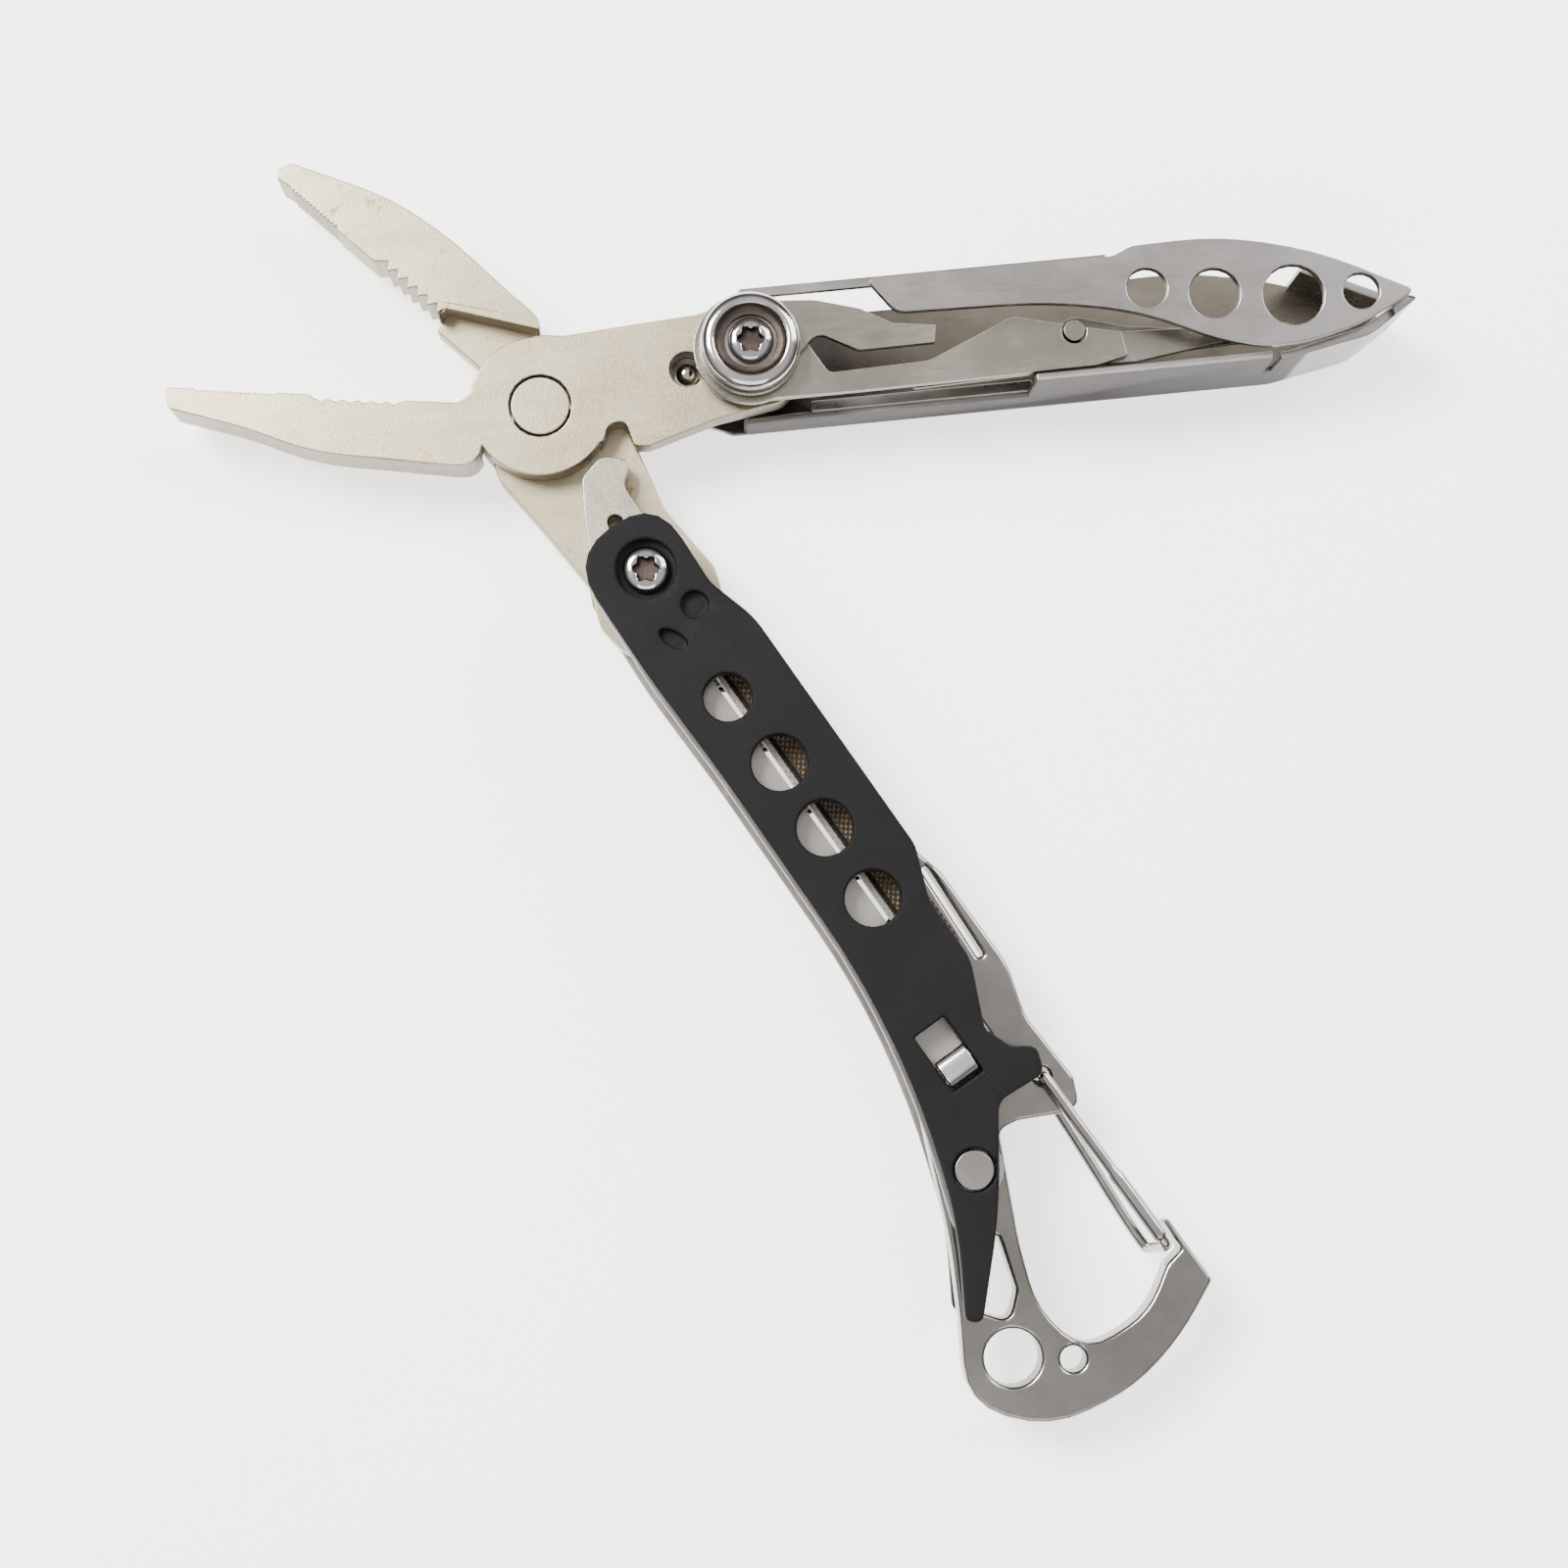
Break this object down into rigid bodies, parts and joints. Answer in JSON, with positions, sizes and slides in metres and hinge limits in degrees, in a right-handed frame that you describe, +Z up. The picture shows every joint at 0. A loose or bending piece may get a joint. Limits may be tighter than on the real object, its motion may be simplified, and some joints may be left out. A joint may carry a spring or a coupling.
{
  "type": "multi tool",
  "caption": "Folding keychain pliers with scissors, screwdriver, nail file and tweezers in two handles, one ending in a wire-gate carabiner.",
  "frame": {"origin": "centre of the bounding box's bottom face, where the tool lies on a table", "axes": "+Z up through the tool's thickness, +X along the picture's right, +Y away from the viewer"},
  "size_m": [0.0952, 0.0952, 0.0116],
  "materials": {
    "jaw_steel": "bead-blasted steel",
    "satin_steel": "satin steel",
    "polished_steel": "polished steel",
    "file_steel": "cross-cut file steel, discoloured",
    "black_nylon": "moulded matte nylon"
  },
  "bodies": {
    "black_handle": {"upper_scale": "black_nylon", "lower_scale": "black_nylon", "upper_liner": "satin_steel", "lower_liner": "satin_steel", "carabiner_frame": "satin_steel", "scale_rivet": "satin_steel", "frame_pin": "polished_steel", "frame_spacer_lower": "polished_steel", "frame_spacer_upper": "polished_steel", "pivot_washer": "polished_steel", "pivot_screw": "polished_steel", "pivot_nut": "polished_steel"},
    "jaw_b_arm": {"jaw_b": "jaw_steel", "jaw_rivet": "jaw_steel"},
    "jaw_a_arm": {"jaw_a": "jaw_steel"},
    "steel_handle": {"steel_channel": "satin_steel", "hub_spacer": "polished_steel", "hub_washer": "polished_steel", "hub_collar": "polished_steel", "hub_screw": "polished_steel", "hub_nut": "polished_steel"},
    "scissors": {"scissors_body": "satin_steel", "scissors_rivet": "polished_steel"},
    "scissors_second_blade": {"scissors_blade": "satin_steel"},
    "screwdriver_tool": {"screwdriver": "satin_steel"},
    "nail_file_tool": {"nail_file": "file_steel"},
    "tweezers_tool": {"tweezers": "polished_steel"},
    "gate": {"wire_gate": "polished_steel"},
    "spring_lever": {"return_lever": "satin_steel"}
  },
  "joints": [
    {"name": "black_handle_fold", "type": "hinge", "parent": "black_handle", "child": "jaw_b_arm", "pos_m": [-0.01102, 0.01555, 0], "axis": [0, 0, 1], "range_deg": [0, 144]},
    {"name": "plier_pivot", "type": "hinge", "parent": "jaw_b_arm", "child": "jaw_a_arm", "pos_m": [-0.01921, 0.02878, 0], "axis": [0, 0, 1], "range_deg": [-37.5, 0], "stiffness_Nm_per_rad": 0.02},
    {"name": "return_lever_pivot", "type": "hinge", "parent": "jaw_b_arm", "child": "spring_lever", "pos_m": [-0.01102, 0.01555, 0], "axis": [0, 0, 1], "range_deg": [0, 21.4]},
    {"name": "steel_handle_fold", "type": "hinge", "parent": "jaw_a_arm", "child": "steel_handle", "pos_m": [-0.00325, 0.03296, 0], "axis": [0, 0, 1], "range_deg": [0, 155]},
    {"name": "scissors_swing", "type": "hinge", "parent": "steel_handle", "child": "scissors", "pos_m": [-0.00325, 0.03296, 0], "axis": [0, 0, 1], "range_deg": [0, 170]},
    {"name": "scissors_pivot", "type": "hinge", "parent": "scissors", "child": "scissors_second_blade", "pos_m": [0.02153, 0.03451, 0], "axis": [0, 0, 1], "range_deg": [0, 7]},
    {"name": "screwdriver_swing", "type": "hinge", "parent": "steel_handle", "child": "screwdriver_tool", "pos_m": [-0.00325, 0.03296, 0], "axis": [0, 0, 1], "range_deg": [0, 170]},
    {"name": "nail_file_swing", "type": "hinge", "parent": "black_handle", "child": "nail_file_tool", "pos_m": [-0.01102, 0.01555, 0], "axis": [0, 0, 1], "range_deg": [-165, 0]},
    {"name": "tweezers_slide", "type": "slide", "parent": "black_handle", "child": "tweezers_tool", "axis": [0.5828, -0.8126, 0], "range_m": [-0.0023, 0]},
    {"name": "gate_hinge", "type": "hinge", "parent": "black_handle", "child": "gate", "pos_m": [0.01876, -0.02203, 0], "axis": [0, 0, 1], "range_deg": [-26, 0], "stiffness_Nm_per_rad": 0.004}
  ],
  "couplings": [
    {"joint": "return_lever_pivot", "follows": "plier_pivot", "ratio": -0.57}
  ]
}
